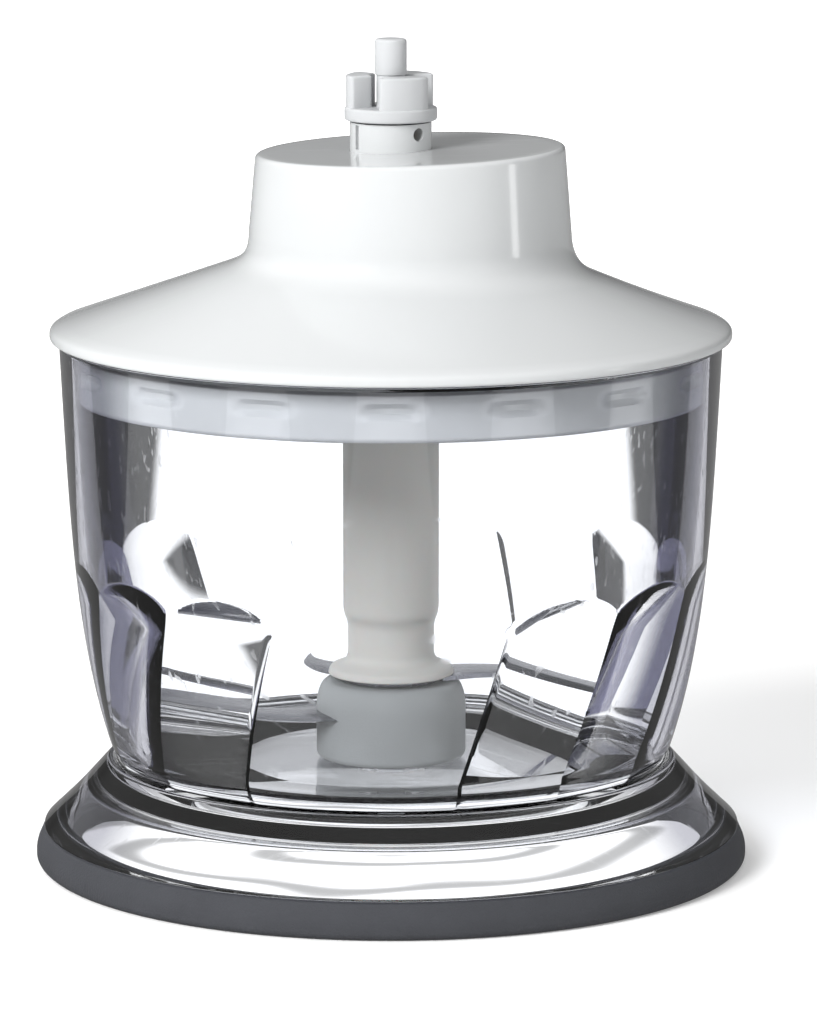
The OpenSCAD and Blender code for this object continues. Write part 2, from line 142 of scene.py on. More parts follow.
class CouplingSizes(bpy.types.PropertyGroup):
    """The drive coupling on the lid, in millimetres"""
    socket_radius: millimetres("Socket radius", 7.4, "Outside radius of the fixed socket")
    socket_z: millimetres("Socket level", 136.0, "Level of the socket's top")
    dog_radius: millimetres("Dog radius", 8.4, "Outside radius of the drive dog")
    flange: millimetres("Flange", 2.4, "Thickness of the dog's flange")
    jaw_height: millimetres("Jaw height", 5.8, "Height of the jaws")
    tip_height: millimetres("Tip height", 6.5, "Height of the post over the jaws")
    post_radius: millimetres("Post radius", 2.9, "Radius of the post between the jaws")


class Colours(bpy.types.PropertyGroup):
    """The colours of the materials"""
    clear: colour("Clear plastic", (0.955, 0.965, 0.985), "Tint of the clear plastic")
    # Edge tint is painted shade: the near-black blue that the clear plastic's colour turns to where
    # a wall is seen edge on, in place of dark surroundings seen through it.
    edge: colour("Edge tint", (0.05, 0.05, 0.10), "Tint that gathers along the clear edges")
    white: colour("White plastic", (0.56, 0.573, 0.578), "Lid")
    ivory: colour("Hub plastic", (0.44, 0.43, 0.40), "Hub")
    frosted: colour("Frosted plastic", (0.52, 0.54, 0.535), "Skirt of the hub")
    coupling: colour("Coupling plastic", (0.50, 0.51, 0.52), "Drive dog")
    rubber: colour("Rubber", (0.052, 0.054, 0.061), "Ring and seal")
    steel: colour("Steel", (0.56, 0.57, 0.59), "Pins and screws")
    blade: colour("Blade steel", (0.20, 0.205, 0.23), "Blades")
    bronze: colour("Bronze", (0.44, 0.28, 0.13), "Bushes")
    acetal: colour("Gear plastic", (0.72, 0.70, 0.63), "Gears")
    nylon: colour("Dark plastic", (0.10, 0.105, 0.11), "Carrier, cover and insert")


class StageSizes(bpy.types.PropertyGroup):
    """The camera, floor and lamps, in metres"""
    camera_at: FloatVectorProperty(name="Camera", default=(0.0032, -1.030, 0.248), size=3,
                                   subtype="TRANSLATION", description="Where the camera stands")
    looks_at: FloatVectorProperty(name="Target", default=(0.0032, 0.0, 0.0643), size=3,
                                  subtype="TRANSLATION", description="What the camera looks at")
    lens: FloatProperty(name="Lens", default=201.2, unit="CAMERA", description="Focal length")
    floor: FloatProperty(name="Floor", default=8.0, unit="LENGTH", description="Side of the floor")
    lane: FloatProperty(name="Lane", default=0.056, unit="LENGTH",
                        description="Half width of the white lanes that show through the plastic")
    spread: FloatProperty(name="Spread", default=0.05,
                          description="How much a lane widens over its length")


GROUPS = {"chopper_bowl": BowlSizes, "chopper_base": BaseSizes, "chopper_blades": BladeSizes,
          "chopper_lid": LidSizes, "chopper_coupling": CouplingSizes,
          "chopper_colours": Colours, "chopper_stage": StageSizes}


# ---- surfaces

def rounded(corners, steps=6, ring=False):
    """A profile through corners (r, z, size), each turned into a soft bend.

    Where a corner has a size, the profile leaves it that far before and after, and follows the
    curve (1-t)^2 A + 2t(1-t) C + t^2 B between those two points, C being the corner.
    """
    points = np.array([c[:2] for c in corners], float)
    sizes = np.array([c[2] for c in corners], float)
    before = np.roll(points, 1, axis=0) - points
    after = np.roll(points, -1, axis=0) - points
    length_before = np.linalg.norm(before, axis=1)
    length_after = np.linalg.norm(after, axis=1)
    out = []
    t = np.linspace(0.0, 1.0, steps + 1)[:, None]
    for i, size in enumerate(sizes):
        inner = ring or 0 < i < len(sizes) - 1
        if size <= 0 or not inner:
            out.append(points[i:i + 1])
            continue
        size = min(size, 0.49 * length_before[i], 0.49 * length_after[i])
        a = points[i] + before[i] / length_before[i] * size
        b = points[i] + after[i] / length_after[i] * size
        out.append((1 - t) ** 2 * a + 2 * t * (1 - t) * points[i] + t ** 2 * b)
    return np.concatenate(out)


def dense(profile, longest):
    """The same profile with each step longer than `longest` cut into equal shorter ones."""
    out = [profile[:1]]
    for a, b in zip(profile[:-1], profile[1:]):
        parts = max(1, int(np.ceil(np.linalg.norm(b - a) / longest)))
        out.append(a + (b - a) * np.linspace(0, 1, parts + 1)[1:, None])
    return np.concatenate(out)


def arc(centre_r, centre_z, radius, start, end, steps=8):
    """Points of a circular arc in the profile plane, from start to end in degrees."""
    angle = np.radians(np.linspace(start, end, steps + 1))
    return np.stack([centre_r + radius * np.cos(angle), centre_z + radius * np.sin(angle)], axis=1)


def round_angles(segments):
    """Equal angles once round, without the repeated last one."""
    return np.linspace(0.0, 2 * pi, segments, endpoint=False)


def turned(profile, segments=ROUND, shift=0.0):
    """A grid of points: each profile point (r, z) carried round the axis at x = shift."""
    angle = round_angles(segments)
    x = shift + profile[:, :1] * np.cos(angle)
    y = profile[:, :1] * np.sin(angle)
    z = np.broadcast_to(profile[:, 1:], x.shape)
    return np.stack([x, y, z], axis=2)


def grid_faces(rows, cols, wrap_rows):
    """Quads between neighbouring points of a grid whose columns close on themselves."""
    row = np.arange(rows if wrap_rows else rows - 1)[:, None]
    col = np.arange(cols)[None, :]
    next_row = (row + 1) % rows
    next_col = (col + 1) % cols
    quads = np.stack([row * cols + col, row * cols + next_col,
                      next_row * cols + next_col, next_row * cols + col], axis=2)
    return quads.reshape(-1, 4)


def make_piece(name, grids, material, body, *, ring=False, sharp=35.0):
    """A mesh object in metres from one or more grids of points in millimetres.

    Each grid is closed: its columns meet, and its rows either meet too (ring) or run out in a
    pole at each end, where the first and last rows shrink to one point.
    """
    mesh = bpy.data.meshes.new(name)
    points, faces, start = [], [], 0
    for grid in grids:
        rows, cols = grid.shape[:2]
        points.append(grid.reshape(-1, 3) * MM)
        faces.extend((grid_faces(rows, cols, ring) + start).tolist())
        start += rows * cols
    mesh.from_pydata(np.concatenate(points).tolist(), [], faces)
    mesh.update()
    soften(mesh, sharp)
    return finish_piece(name, mesh, material, body)


def soften(mesh, sharp):
    """Merges doubled points, turns faces outwards and shades smooth up to the sharp angle."""
    work = bmesh.new()
    work.from_mesh(mesh)
    bmesh.ops.remove_doubles(work, verts=work.verts, dist=2e-6)
    bmesh.ops.dissolve_degenerate(work, edges=work.edges, dist=1e-7)
    bmesh.ops.recalc_face_normals(work, faces=work.faces)
    work.to_mesh(mesh)
    work.free()
    mesh.shade_smooth()
    mesh.set_sharp_from_angle(angle=radians(sharp))


def finish_piece(name, mesh, material, body):
    """Links the mesh as an object with its material, and lets it ride on its body."""
    piece = bpy.data.objects.new(name, mesh)
    bpy.context.scene.collection.objects.link(piece)
    mesh.materials.append(material)
    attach(piece, body)
    return piece


def share_painted_edge_shade(piece, share):
    """Stores on each vertex how much painted edge shade it takes, as a function of radius and level.
    """
    mesh = piece.data
    place = np.empty(3 * len(mesh.vertices))
    mesh.vertices.foreach_get("co", place)
    place = place.reshape(-1, 3) / MM
    values = share(np.hypot(place[:, 0], place[:, 1]), place[:, 2])
    store = mesh.attributes.new("edge_share", "FLOAT", "POINT")
    store.data.foreach_set("value", values.astype(np.float32))


def smooth_step(t):
    """3t^2 - 2t^3 of t held between 0 and 1."""
    t = np.clip(t, 0.0, 1.0)
    return t * t * (3 - 2 * t)


def soft_max(a, b, width):
    """The larger of a and b, with the crease between them rounded over about that width."""
    gap = np.clip(0.5 + 0.5 * (a - b) / width, 0.0, 1.0)
    return b + (a - b) * gap + width * gap * (1 - gap)


# ---- materials

def new_group(name, inputs, outputs):
    """An empty shader node group with named sockets, given as (name, type, default)."""
    group = bpy.data.node_groups.new(name, "ShaderNodeTree")
    for label, kind, default in inputs:
        socket = group.interface.new_socket(name=label, in_out="INPUT", socket_type=kind)
        socket.default_value = default
    for label, kind in outputs:
        group.interface.new_socket(name=label, in_out="OUTPUT", socket_type=kind)
    return group


def node(tree, kind, inputs=(), **settings):
    """A node of that kind with its settings, and its inputs linked or set by name or number."""
    made = tree.nodes.new(kind)
    for key, value in settings.items():
        setattr(made, key, value)
    for key, value in dict(inputs).items():
        if isinstance(value, bpy.types.NodeSocket):
            tree.links.new(value, made.inputs[key])
        else:
            made.inputs[key].default_value = value
    return made


def math(tree, operation, *values):
    """A Math node's result."""
    return node(tree, "ShaderNodeMath", dict(enumerate(values)), operation=operation).outputs[0]


def ramp(tree, value, start, end, low=0.0, high=1.0, smooth=True):
    """A value between start and end carried onto low to high, and held there outside them."""
    ends = {"Value": value, "From Min": start, "From Max": end, "To Min": low, "To Max": high}
    kind = "SMOOTHSTEP" if smooth else "LINEAR"
    return node(tree, "ShaderNodeMapRange", ends, interpolation_type=kind).outputs[0]


def noise(tree, place, scale, detail):
    """A Noise texture's value."""
    return node(tree, "ShaderNodeTexNoise", {"Vector": place, "Scale": scale,
                                             "Detail": detail}).outputs[0]


def finish_group():
    """Moulded plastic: a slow mottle in colour and gloss, fine scratches and a skin of grain.

    Height is grain plus scratches. Colour is the given one, lightened and darkened by the mottle.
    """
    name = "moulded_finish"
    if name in bpy.data.node_groups:
        return bpy.data.node_groups[name]
    group = new_group(name, [("Colour", "NodeSocketColor", (0.8, 0.8, 0.8, 1.0)),
                             ("Roughness", "NodeSocketFloat", 0.3),
                             ("Mottle", "NodeSocketFloat", 0.05),
                             ("Mottle Scale", "NodeSocketFloat", 60.0),
                             ("Grain Scale", "NodeSocketFloat", 900.0),
                             ("Scratches", "NodeSocketFloat", 0.1)],
                      [("Colour", "NodeSocketColor"), ("Roughness", "NodeSocketFloat"),
                       ("Height", "NodeSocketFloat")])
    enter = group.nodes.new("NodeGroupInput")
    leave = group.nodes.new("NodeGroupOutput")
    place = group.nodes.new("ShaderNodeTexCoord").outputs["Object"]
    mottle = noise(group, place, enter.outputs["Mottle Scale"], 3.0)
    grain = noise(group, place, enter.outputs["Grain Scale"], 2.0)
    stretched = node(group, "ShaderNodeMapping", {"Vector": place, "Scale": (40.0, 900.0, 300.0),
                                                  "Rotation": (0.4, 0.7, 0.3)})
    scratch = ramp(group, noise(group, stretched.outputs[0], 1.0, 1.0), 0.66, 0.72)
    centred = math(group, "SUBTRACT", mottle, 0.5)
    shade = math(group, "MULTIPLY_ADD", centred, enter.outputs["Mottle"], 1.0)
    tinted = node(group, "ShaderNodeVectorMath", {0: enter.outputs["Colour"], 1: shade},
                  operation="MULTIPLY")
    worn = math(group, "MULTIPLY", scratch, enter.outputs["Scratches"])
    rough = math(group, "MULTIPLY", enter.outputs["Roughness"], shade)
    rougher = math(group, "MULTIPLY_ADD", worn, 0.5, rough)
    height = math(group, "SUBTRACT", grain, worn)
    group.links.new(tinted.outputs[0], leave.inputs["Colour"])
    group.links.new(rougher, leave.inputs["Roughness"])
    group.links.new(height, leave.inputs["Height"])
    return group


def new_material(name, rgb, rough, *, mottle=0.06, mottle_scale=60.0, grain=900.0, scratches=0.1,
                 bump=0.02, sockets=()):
    """A Principled material whose colour, gloss and bump come from the moulded finish."""
    material = bpy.data.materials.new(name)
    material.use_nodes = True
    tree = material.node_tree
    shader = tree.nodes["Principled BSDF"]
    finish = node(tree, "ShaderNodeGroup", node_tree=finish_group())
    for key, value in {"Colour": (*rgb, 1.0), "Roughness": rough, "Mottle": mottle,
                       "Mottle Scale": mottle_scale, "Grain Scale": grain,
                       "Scratches": scratches}.items():
        finish.inputs[key].default_value = value
    relief = node(tree, "ShaderNodeBump", {"Height": finish.outputs["Height"], "Strength": bump,
                                           "Distance": 0.0004})
    tree.links.new(finish.outputs["Colour"], shader.inputs["Base Color"])
    tree.links.new(finish.outputs["Roughness"], shader.inputs["Roughness"])
    tree.links.new(relief.outputs[0], shader.inputs["Normal"])
    for key, value in dict(sockets).items():
        shader.inputs[key].default_value = value
    return material


def clear_plastic(name, tint, edge):
    """Clear plastic: near white face on, with painted shade that darkens it towards the edge colour
    where it is seen along the wall.
    """
    material = new_material(name, tint, 0.012, mottle=0.02, scratches=0.25, bump=0.001,
                            sockets={"Transmission Weight": 1.0, "IOR": 1.49})
    tree = material.node_tree
    shader = tree.nodes["Principled BSDF"]
    plain = shader.inputs["Base Color"].links[0].from_socket
    # Painted edge shade: where the wall is seen edge on, the base colour is mixed towards the dark
    # edge colour, by as much as each vertex's share.
    facing = node(tree, "ShaderNodeLayerWeight", {"Blend": 0.5}).outputs["Facing"]
    along = ramp(tree, facing, 0.34, 0.54)
    share = node(tree, "ShaderNodeAttribute", attribute_name="edge_share").outputs["Fac"]
    edge_shade_amount = math(tree, "MULTIPLY", along, share)
    mixed = node(tree, "ShaderNodeMix", {"Factor": edge_shade_amount}, data_type="RGBA")
    tree.links.new(plain, mixed.inputs["A"])
    mixed.inputs["B"].default_value = (*edge, 1.0)
    tree.links.new(mixed.outputs["Result"], shader.inputs["Base Color"])
    through = node(tree, "ShaderNodeBsdfTransparent", {"Color": (0.93, 0.94, 0.96, 1.0)})
    path = tree.nodes.new("ShaderNodeLightPath")
    blend = node(tree, "ShaderNodeMixShader", {0: path.outputs["Is Shadow Ray"],
                                               1: shader.outputs[0], 2: through.outputs[0]})
    tree.links.new(blend.outputs[0], tree.nodes["Material Output"].inputs["Surface"])
    return material


def steel(name, rgb, rough, line_scale):
    """Ground steel: fine lines from noise stretched along one way, in gloss and in bump."""
    material = new_material(name, rgb, rough, mottle=0.12, mottle_scale=90.0, grain=1400.0,
                            bump=0.05, sockets={"Metallic": 1.0})
    tree = material.node_tree
    shader = tree.nodes["Principled BSDF"]
    place = tree.nodes.new("ShaderNodeTexCoord").outputs["Object"]
    stretched = node(tree, "ShaderNodeMapping", {"Vector": place, "Scale": line_scale})
    lines = noise(tree, stretched.outputs[0], 1.0, 4.0)
    gloss = ramp(tree, lines, 0.3, 0.7, rough * 0.7, rough * 1.5, smooth=False)
    relief = node(tree, "ShaderNodeBump", {"Height": lines, "Strength": 0.12, "Distance": 0.0002})
    tree.links.new(gloss, shader.inputs["Roughness"])
    tree.links.new(relief.outputs[0], shader.inputs["Normal"])
    return material


# Each slot's maker, colour and roughness, and what else its maker takes.
FINISHES = {
    "rubber": (new_material, "rubber", 0.62, {
        "mottle": 0.25, "mottle_scale": 140.0, "grain": 2600.0, "bump": 0.35,
        "sockets": {"Specular IOR Level": 0.35}}),
    "steel_pin": (steel, "steel", 0.28, {"line_scale": (300.0, 300.0, 4000.0)}),
    "blade_steel": (steel, "blade", 0.2, {"line_scale": (260.0, 3200.0, 500.0)}),
    "ivory_plastic": (new_material, "ivory", 0.38, {
        "mottle": 0.08, "grain": 1500.0, "bump": 0.05,
        "sockets": {"Subsurface Weight": 0.15, "Subsurface Scale": 0.002}}),
    "frosted_plastic": (new_material, "frosted", 0.45, {
        "mottle": 0.12, "mottle_scale": 120.0, "grain": 1800.0, "bump": 0.1,
        "sockets": {"Transmission Weight": 0.55, "IOR": 1.45}}),
    "white_plastic": (new_material, "white", 0.16, {
        "mottle": 0.03, "mottle_scale": 25.0, "bump": 0.012,
        "sockets": {"Coat Weight": 0.4, "Coat Roughness": 0.06}}),
    "coupling_plastic": (new_material, "coupling", 0.32, {
        "mottle": 0.08, "grain": 1500.0, "bump": 0.05}),
    "bronze": (new_material, "bronze", 0.42, {
        "mottle": 0.4, "mottle_scale": 500.0, "grain": 3000.0, "bump": 0.3,
        "sockets": {"Metallic": 1.0}}),
    "gear_plastic": (new_material, "acetal", 0.34, {
        "mottle": 0.06, "grain": 1200.0, "bump": 0.05}),
    "dark_plastic": (new_material, "nylon", 0.48, {
        "mottle": 0.3, "mottle_scale": 400.0, "grain": 2200.0, "bump": 0.2}),
}


def material_for(slot):
    """The material of a slot of the record, made when it is first asked for."""
    if slot in bpy.data.materials and bpy.data.materials[slot].get("finished"):
        return bpy.data.materials[slot]
    tones = bpy.context.scene.chopper_colours
    if slot == "clear_plastic":
        material = clear_plastic(slot, tones.clear, tones.edge)
    else:
        make, tone, rough, values = FINISHES[slot]
        material = make(slot, getattr(tones, tone), rough, **values)
    material.name = slot
    material["finished"] = True
    return material


def slot_of(node_name):
    """The record's material slot of a node."""
    for part in frame["record"]["subparts"]:
        if part["node"] == node_name:
            return part["material_slot"]
    raise ValueError("no such node: " + node_name)


def body_with(node_name):
    """The body that holds a node."""
    for body, nodes in frame["record"]["behaviour"]["bodies"].items():
        if node_name in nodes:
            return body
    raise ValueError("no such node: " + node_name)


def stand_in(piece_name, node_name, grids, **how):
    """A modelled piece in place of a CAD node, on its body and with its material."""
    slot = slot_of(node_name)
    piece = make_piece(piece_name, grids, material_for(slot), body_with(node_name), **how)
    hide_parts(node_name)
    return piece


# ---- the bowl

def wall_rise(size, z):
    """How far up the curved wall a level lies, 0 where it starts and 1 at the rim."""
    return np.clip((z - size.wall_z) / (size.rim_z - size.wall_z), 0.0, 1.0)


def outer_radius(size, z):
    """Rim radius less an even draft and a belly that grows with the fourth power downwards."""
    down = 1 - wall_rise(size, z)
    return size.rim_radius - size.draft * down - size.belly * down ** 4


def lean_at(size, z):
    """How far the ridges have turned at a level: evenly downwards, none 5 mm under the tops."""
    upright_z = size.facet_top - 5.0
    drop = 28.0
    most_back = 0.18
    return size.lean * np.clip((upright_z - z) / drop, -most_back, 1.0)


def inner_radius(size, z, angle):
    """The faceted inside: the smaller of a round wall and a ring of flat facets.

    A facet's distance from the axis is the round wall's, less a sag that grows over the first
    few millimetres below the tops as 1-(1-t)^2; its radius is that over the cosine of the angle
    from its middle. Two facets meet in a ridge at every whole pitch of the angle. Two panels,
    each of two pitches, stay round.
    """
    arch = 7.5
    pitch = 2 * pi / size.pitches
    off = angle % pitch - pitch / 2
    round_wall = outer_radius(size, z) - size.wall
    t = np.clip((size.facet_top - z) / arch, 0.0, 1.0)
    sag = size.sag * (1 - (1 - t) ** 2)
    flat = (round_wall - sag) / np.cos(off)
    plain = np.abs(np.sin(angle)) < sin(pitch) - 1e-6
    return np.where(plain, round_wall, np.minimum(round_wall, flat))


def bowl_grid(size):
    """Outside from the middle of the underside up to the rim, then inside down to the floor."""
    foot_step = 1.2
    foot = outer_radius(size, size.wall_z) - foot_step
    foot_in = foot - 5.3
    recess = size.foot_z + 0.5
    angle = round_angles(FINE)[None, :]
    under = dense(rounded([(0, recess, 0), (foot_in, recess, 1.0), (foot_in + 0.4, size.foot_z, 0.3),
                           (foot, size.foot_z, 0.8), (foot + 0.4, size.wall_z - 1.5, 1.0),
                           (foot + foot_step, size.wall_z, 0)], 6), 4.0)
    rim_start = size.rim_z - 0.9
    up = np.linspace(size.wall_z, rim_start, 44)[1:]
    outside = np.stack([outer_radius(size, up), up], axis=1)
    top_in = size.rim_radius - size.wall
    rim = rounded([(outside[-1, 0], outside[-1, 1], 0), (size.rim_radius, size.rim_z, 0.7),
                   (top_in, size.rim_z, 0.7), (top_in, rim_start, 0)], 8)[1:-1]
    profile = np.concatenate([under, outside, rim])
    shell = turned(profile, FINE)

    corner = 5.0
    turn_z = size.floor_z + corner
    over_arch = size.facet_top + 1
    under_arch = size.facet_top - 9
    down = np.concatenate([np.linspace(rim_start, over_arch, 16),
                           np.linspace(over_arch, under_arch, 41)[1:],
                           np.linspace(under_arch, turn_z, 24)[1:]])[:, None]
    radius = inner_radius(size, down, angle)
    bend = np.radians(np.linspace(0, -90, 13))[1:, None]
    foot_radius = inner_radius(size, turn_z, angle)
    corner_r = foot_radius - corner + corner * np.cos(bend)
    corner_z = turn_z + corner * np.sin(bend)
    radius = np.concatenate([radius, corner_r])
    level = np.concatenate([down, corner_z])
    around = angle - pi / 2 - lean_at(size, level)
    wall = np.stack([radius * np.cos(around), radius * np.sin(around),
                     np.broadcast_to(level, radius.shape)], axis=2)

    boss = 6.0
    boss_z = size.floor_z + 2
    bore = PIN + SEAT
    bore_z = size.foot_z + 1.5
    middle = dense(rounded([(40, size.floor_z, 0), (boss, size.floor_z, 0.8),
                            (boss, boss_z, 0.6), (bore, boss_z, 0.2),
                            (bore, bore_z, 0), (0, bore_z, 0)], 4), 5.0)
    return np.concatenate([shell, wall, turned(middle, FINE)])


class MakeBowl(bpy.types.Operator):
    """Makes the clear bowl with its facets inside"""
    bl_idname = "chopper.make_bowl"
    bl_label = "Bowl"

    def execute(self, context):
        size = context.scene.chopper_bowl
        piece = stand_in("bowl_fluted", "bowl", [bowl_grid(size)], sharp=17)

        def share(radius, z):
            """Painted edge shade: full inside the wall, a little less outside, and none on the foot
            and the floor.
            """
            inside = radius < outer_radius(size, z) - 1.0
            return np.where(inside, 1.0, 0.8) * (z > size.wall_z)

        share_painted_edge_shade(piece, share)
        return {"FINISHED"}


# ---- the base

class MakeBase(bpy.types.Operator):
    """Makes the clear base and its rubber ring"""
    bl_idname = "chopper.make_base"
    bl_label = "Base"

    def execute(self, context):
        size = context.scene.chopper_base
        hem_in = size.hem_radius - 3.8
        hem_out = size.hem_radius - 1.6
        hem_z = 1.6
        over_ring = size.ring_height + 0.2
        lip = size.lip_radius
        slope = (size.hem_radius - lip - 1) / (size.lip_z - over_ring)
        under_z = size.deck_z - size.wall
        under_r = size.hem_radius - slope * (under_z - over_ring) - 1.45 * size.wall
        clear = rounded([(0, under_z, 0), (under_r, under_z, 2.0), (hem_in, over_ring, 1.5),
                         (hem_in, hem_z, 0.2), (hem_out, hem_z, 0.2), (hem_out, over_ring, 0.1),
                         (size.hem_radius, over_ring, 0.4),
                         (size.hem_radius - 5.5, over_ring + 5.2, 3.0),
                         (lip + 1, size.lip_z, 0.8), (lip, size.lip_z, 0.4),
                         (lip, size.deck_z, 0.9), (0, size.deck_z, 0)])
        piece = stand_in("base_clear", "base_shell", [turned(dense(clear, 3.0))])
        # Painted edge shade on the base's clear wall outside the lip, none on the deck.
        share_painted_edge_shade(piece, lambda r, z: np.where(r > lip + 0.5, 0.8, 0.0))
        out = size.hem_radius + size.ring_bulge
        tongue_in = hem_in - 1.2
        tongue_z = 5.0
        groove = (hem_in - SEAT, hem_out + SEAT, hem_z - SEAT)
        ring = rounded([(tongue_in, 0, 0.5), (size.hem_radius + 0.3, 0, 1.0), (out, 0.9, 0.9),
                        (out, 3.2, 1.8), (size.hem_radius - 0.2, size.ring_height, 0.9),
                        (groove[1], size.ring_height, 0.3), (groove[1], groove[2], 0),
                        (groove[0], groove[2], 0), (groove[0], tongue_z, 0.3),
                        (tongue_in, tongue_z, 0.3)], 6, ring=True)
        stand_in("ring_moulded", "grip_ring", [turned(ring)], ring=True)
        return {"FINISHED"}


# ---- the blade unit

def arm_grid(root, tip, sweep, width, thickness, level, heading):
    """A ground sickle blade, closed all round.

    Along it, t runs from 0 to 1: the middle line turns away by sweep t^2, and the half width
    shrinks as sqrt(1-t) ahead and (1-t) behind. Across it, the section is a flat bar whose
    leading third thins to an edge.
    """
    t = np.linspace(0.0, 0.995, 60)[:, None]
    reach = root + (tip - root) * t
    turn = heading - sweep * t ** 2
    across = np.array([1.0, 0.62, 0.2, -0.4, -0.86, -1.0, -1.0, -0.86, -0.4, 0.2, 0.62])[None, :]
    up = np.array([0.03, 0.42, 0.5, 0.5, 0.5, 0.36, -0.36, -0.5, -0.5, -0.5, -0.5])[None, :]
    half = width / 2 * np.where(across > 0, np.sqrt(1 - t), 1 - t)
    side = across * half
    x = reach * np.cos(turn) - side * np.sin(turn)
    y = reach * np.sin(turn) + side * np.cos(turn)
    z = np.broadcast_to(level + thickness * (0.5 + up), x.shape)
    grid = np.stack([x, y, z], axis=2)
    ends = [np.repeat(grid[i:i + 1].mean(axis=1, keepdims=True), grid.shape[1], axis=1)
            for i in (0, -1)]
    return np.concatenate([ends[0], grid, ends[1]])


def washer(bore, out, z0, z1, soft=0.15):
    """A ring of square section with softened edges, as a closed profile."""
    return rounded([(bore, z0, soft), (out, z0, soft), (out, z1, soft), (bore, z1, soft)], 3,
                   ring=True)


class MakeBlades(bpy.types.Operator):
    """Makes the two steel blades"""
    bl_idname = "chopper.make_blades"
    bl_label = "Blades"

    def execute(self, context):
        size = context.scene.chopper_blades
        bore = STEM + SEAT
        root = bore + 1.5
        lower_z = size.skirt_z + 7.5
        upper_z = size.skirt_z + size.skirt_height
        full = (size.tip_radius, size.sweep, size.root_width)
        tail = (size.tip_radius / 2, size.sweep / 3, size.root_width * 0.7)
        tail_turn = radians(152)
        plans = {"lower_blade": (lower_z, [(pi + size.turn, *full)]),
                 "upper_blade": (upper_z, [(size.turn, *full), (tail_turn, *tail)])}
        for name, (level, arms) in plans.items():
            ring = washer(bore, size.tube_radius + 0.05, level, level + size.blade)
            stand_in(name + "_ring", name, [turned(ring, 96)], ring=True)
            grids = [arm_grid(root, tip, sweep, width, size.blade, level, heading)
                     for heading, tip, sweep, width in arms]
            stand_in(name + "_arm", name, grids, sharp=20)
        return {"FINISHED"}


class MakeHub(bpy.types.Operator):
    """Makes the hub's tube and its frosted skirt"""
    bl_idname = "chopper.make_hub"
    bl_label = "Hub"

    def execute(self, context):
        size = context.scene.chopper_blades
        tube = size.tube_radius
        skirt = size.skirt_radius
        skirt_top = size.skirt_z + size.skirt_height
        collar = skirt_top + size.blade
        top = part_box("blade_hub")[1][2] / MM
        low = size.skirt_z + 2
        bush = PIN_BUSH + SEAT
        waist = tube - 0.85
        bore = 6.5
        bore_z = 42.0
        hub = rounded([(bush, low, 0.1), (STEM, low, 0.2), (STEM, collar, 0.1),
                       (skirt - 2.1, collar, 0.4), (skirt - 2.5, collar + 1.3, 0.8),
                       (waist, collar + 2.6, 1.6), (waist, collar + 9.5, 1.2),
                       (tube, collar + 11.5, 1.2), (tube, top, 0.5), (bore, top, 0.3),
                       (bore, bore_z, 0.5), (bush, bore_z - 3, 0.5)], 6, ring=True)
        stand_in("hub_moulded", "blade_hub", [turned(dense(hub, 6.0), 128)], ring=True)
        seat = STEM + SEAT
        roof = skirt_top - 2
        cup = rounded([(skirt - 2.3, size.skirt_z, 0.4), (skirt, size.skirt_z, 2.2),
                       (skirt, skirt_top - 3, 2.0), (skirt - 1.2, skirt_top, 1.4),
                       (seat, skirt_top, 0.1), (seat, roof, 0.1),
                       (skirt - 2.2, roof, 1.2), (skirt - 1.7, size.skirt_z + 4, 1.0)],
                      6, ring=True)
        stand_in("skirt_frosted", "hub_skirt", [turned(dense(cup, 4.0), 128)], ring=True)
        return {"FINISHED"}


# ---- the lid

LID_EDGE = 2.4       # height in millimetres of the lid's edge
EDGE_STEP = 1.2      # how far in from the edge the cone starts, in millimetres
TOP_BEND = 0.9       # radius in millimetres between the neck's top and its wall


def cone_height(size, radius):
    """Level of the lid's cone at a radius from the bowl's axis."""
    return size.edge_z + LID_EDGE + size.slope * (size.edge_radius - EDGE_STEP - radius)


def lid_sheet(size, wall, hole):
    """The lid's surface from the hole in its neck out to its edge, sunk by the wall.

    Rings of points round the neck's own axis go out over the flat top, the edge, the neck's wall
    and the fillet's arc, which runs on along its tangent; meanwhile each point slides in a
    straight line to the edge's ring round the bowl's axis. The level is the soft maximum of that
    profile and the cone, and slants with x towards the neck's top.
    """
    angle = round_angles(ROUND)[None, :]
    root = size.neck_radius + 1.2
    arc_r = root + size.fillet
    arc_z = size.edge_z + 18.8
    turn_off = 248.0
    tangent = 0.44
    cone_in = 5.0 if wall else 0.0
    neck = size.neck_radius - wall
    top_z = size.neck_z - wall
    t = np.linspace(0, 1, 12)[:, None]
    top_r = hole + (neck - TOP_BEND - hole) * t
    shift = size.neck_offset * t
    x = [shift + top_r * np.cos(angle)]
    y = [top_r * np.sin(angle)]
    z = [np.full(x[0].shape, top_z)]
    down = np.concatenate([
        arc(neck - TOP_BEND, top_z - TOP_BEND, TOP_BEND, 90, 0, 6)[1:],
        np.stack([np.linspace(neck, root - wall, 16),
                  np.linspace(top_z - TOP_BEND, arc_z, 16)], axis=1)[1:],
        arc(arc_r, arc_z, size.fillet + wall, 180, turn_off, 24)[1:]])
    x.append(size.neck_offset + down[:, :1] * np.cos(angle))
    y.append(down[:, :1] * np.sin(angle))
    z.append(np.broadcast_to(down[:, 1:], x[1].shape))
    t = np.linspace(0, 1, 14)[1:, None]
    edge = size.edge_radius - EDGE_STEP - cone_in
    last = size.neck_offset * (1 - t)
    left_r, left_z = down[-1]
    radius = left_r + (edge - left_r) * t
    x.append(last + radius * np.cos(angle))
    y.append(radius * np.sin(angle))
    z.append(np.broadcast_to(left_z - tangent * (radius - left_r), x[2].shape))
    x, y, z = (np.concatenate(v) for v in (x, y, z))
    cone = cone_height(size, np.hypot(x, y)) - wall
    z = soft_max(z, cone, 3.0)
    high = smooth_step((z - arc_z) / (top_z - arc_z))
    z = z + size.tilt * (x - size.neck_offset) * high
    return np.stack([x, y, z], axis=2)


